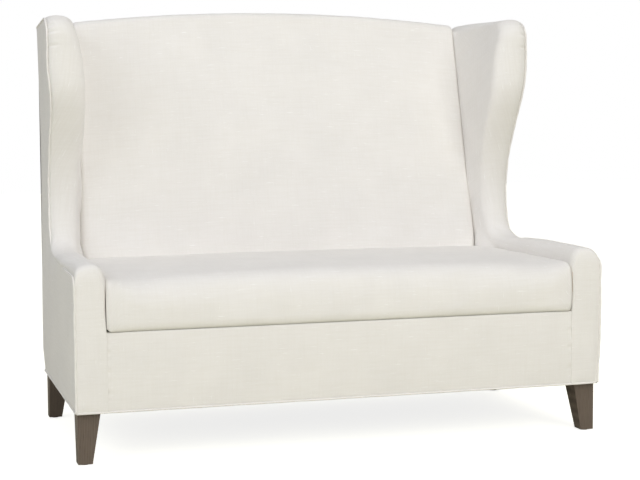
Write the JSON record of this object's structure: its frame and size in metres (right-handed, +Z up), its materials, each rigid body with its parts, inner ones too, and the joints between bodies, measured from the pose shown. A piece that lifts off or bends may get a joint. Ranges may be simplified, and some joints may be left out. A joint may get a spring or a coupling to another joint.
{
  "type": "settee",
  "caption": "Upholstered high-back settee: arched back, wings that sweep down into low arms, rounded seat pad, welted linen cover, tapered wood legs.",
  "frame": {"origin": "centre of the overall box on the floor", "axes": "+X along the seat to the right of someone who faces it, +Y from the seat's front to its back, +Z up"},
  "size_m": [1.524, 0.8756, 1.257],
  "materials": {
    "linen": "plain linen-look weave with soft slubs",
    "leg_wood": "grey-brown stain, satin",
    "birch_ply": "sanded birch plywood",
    "hardwood": "planed, unfinished",
    "spring_steel": "oiled drawn wire and zinc plate",
    "foam": "open foam",
    "cambric": "non-woven dust cloth",
    "webbing": "woven jute strap",
    "glide_nylon": "moulded nylon"
  },
  "bodies": {
    "root": {"side_frame_left": "birch_ply", "side_frame_right": "birch_ply", "arm_front_post_left": "hardwood", "arm_front_post_right": "hardwood", "arm_board_left": "hardwood", "arm_board_right": "hardwood", "front_seat_rail": "hardwood", "back_seat_rail": "hardwood", "side_seat_rail_left": "hardwood", "side_seat_rail_right": "hardwood", "seat_stretchers": "hardwood", "leg_blocks": "hardwood", "back_top_rail": "hardwood", "back_lower_rail": "hardwood", "back_posts": "hardwood", "frame_dowels": "hardwood", "seat_springs": "spring_steel", "spring_clips": "spring_steel", "spring_tie_rods": "spring_steel", "seat_deck_cloth": "cambric", "front_edge_roll": "foam", "back_webbing_upright": "webbing", "back_webbing_level": "webbing", "seat_pad": "linen", "back_pad": "linen", "wing_arm_pad_left": "linen", "wing_arm_pad_right": "linen", "front_border": "linen", "side_cover_left": "linen", "side_cover_right": "linen", "back_cover": "linen", "side_welt_left": "linen", "side_welt_right": "linen", "base_welt": "linen", "dust_cover": "cambric", "leg_front_left": "leg_wood", "leg_front_right": "leg_wood", "leg_rear_left": "leg_wood", "leg_rear_right": "leg_wood", "leg_hanger_bolts": "spring_steel", "leg_tee_nuts": "spring_steel", "leg_glides": "glide_nylon"}
  },
  "joints": []
}
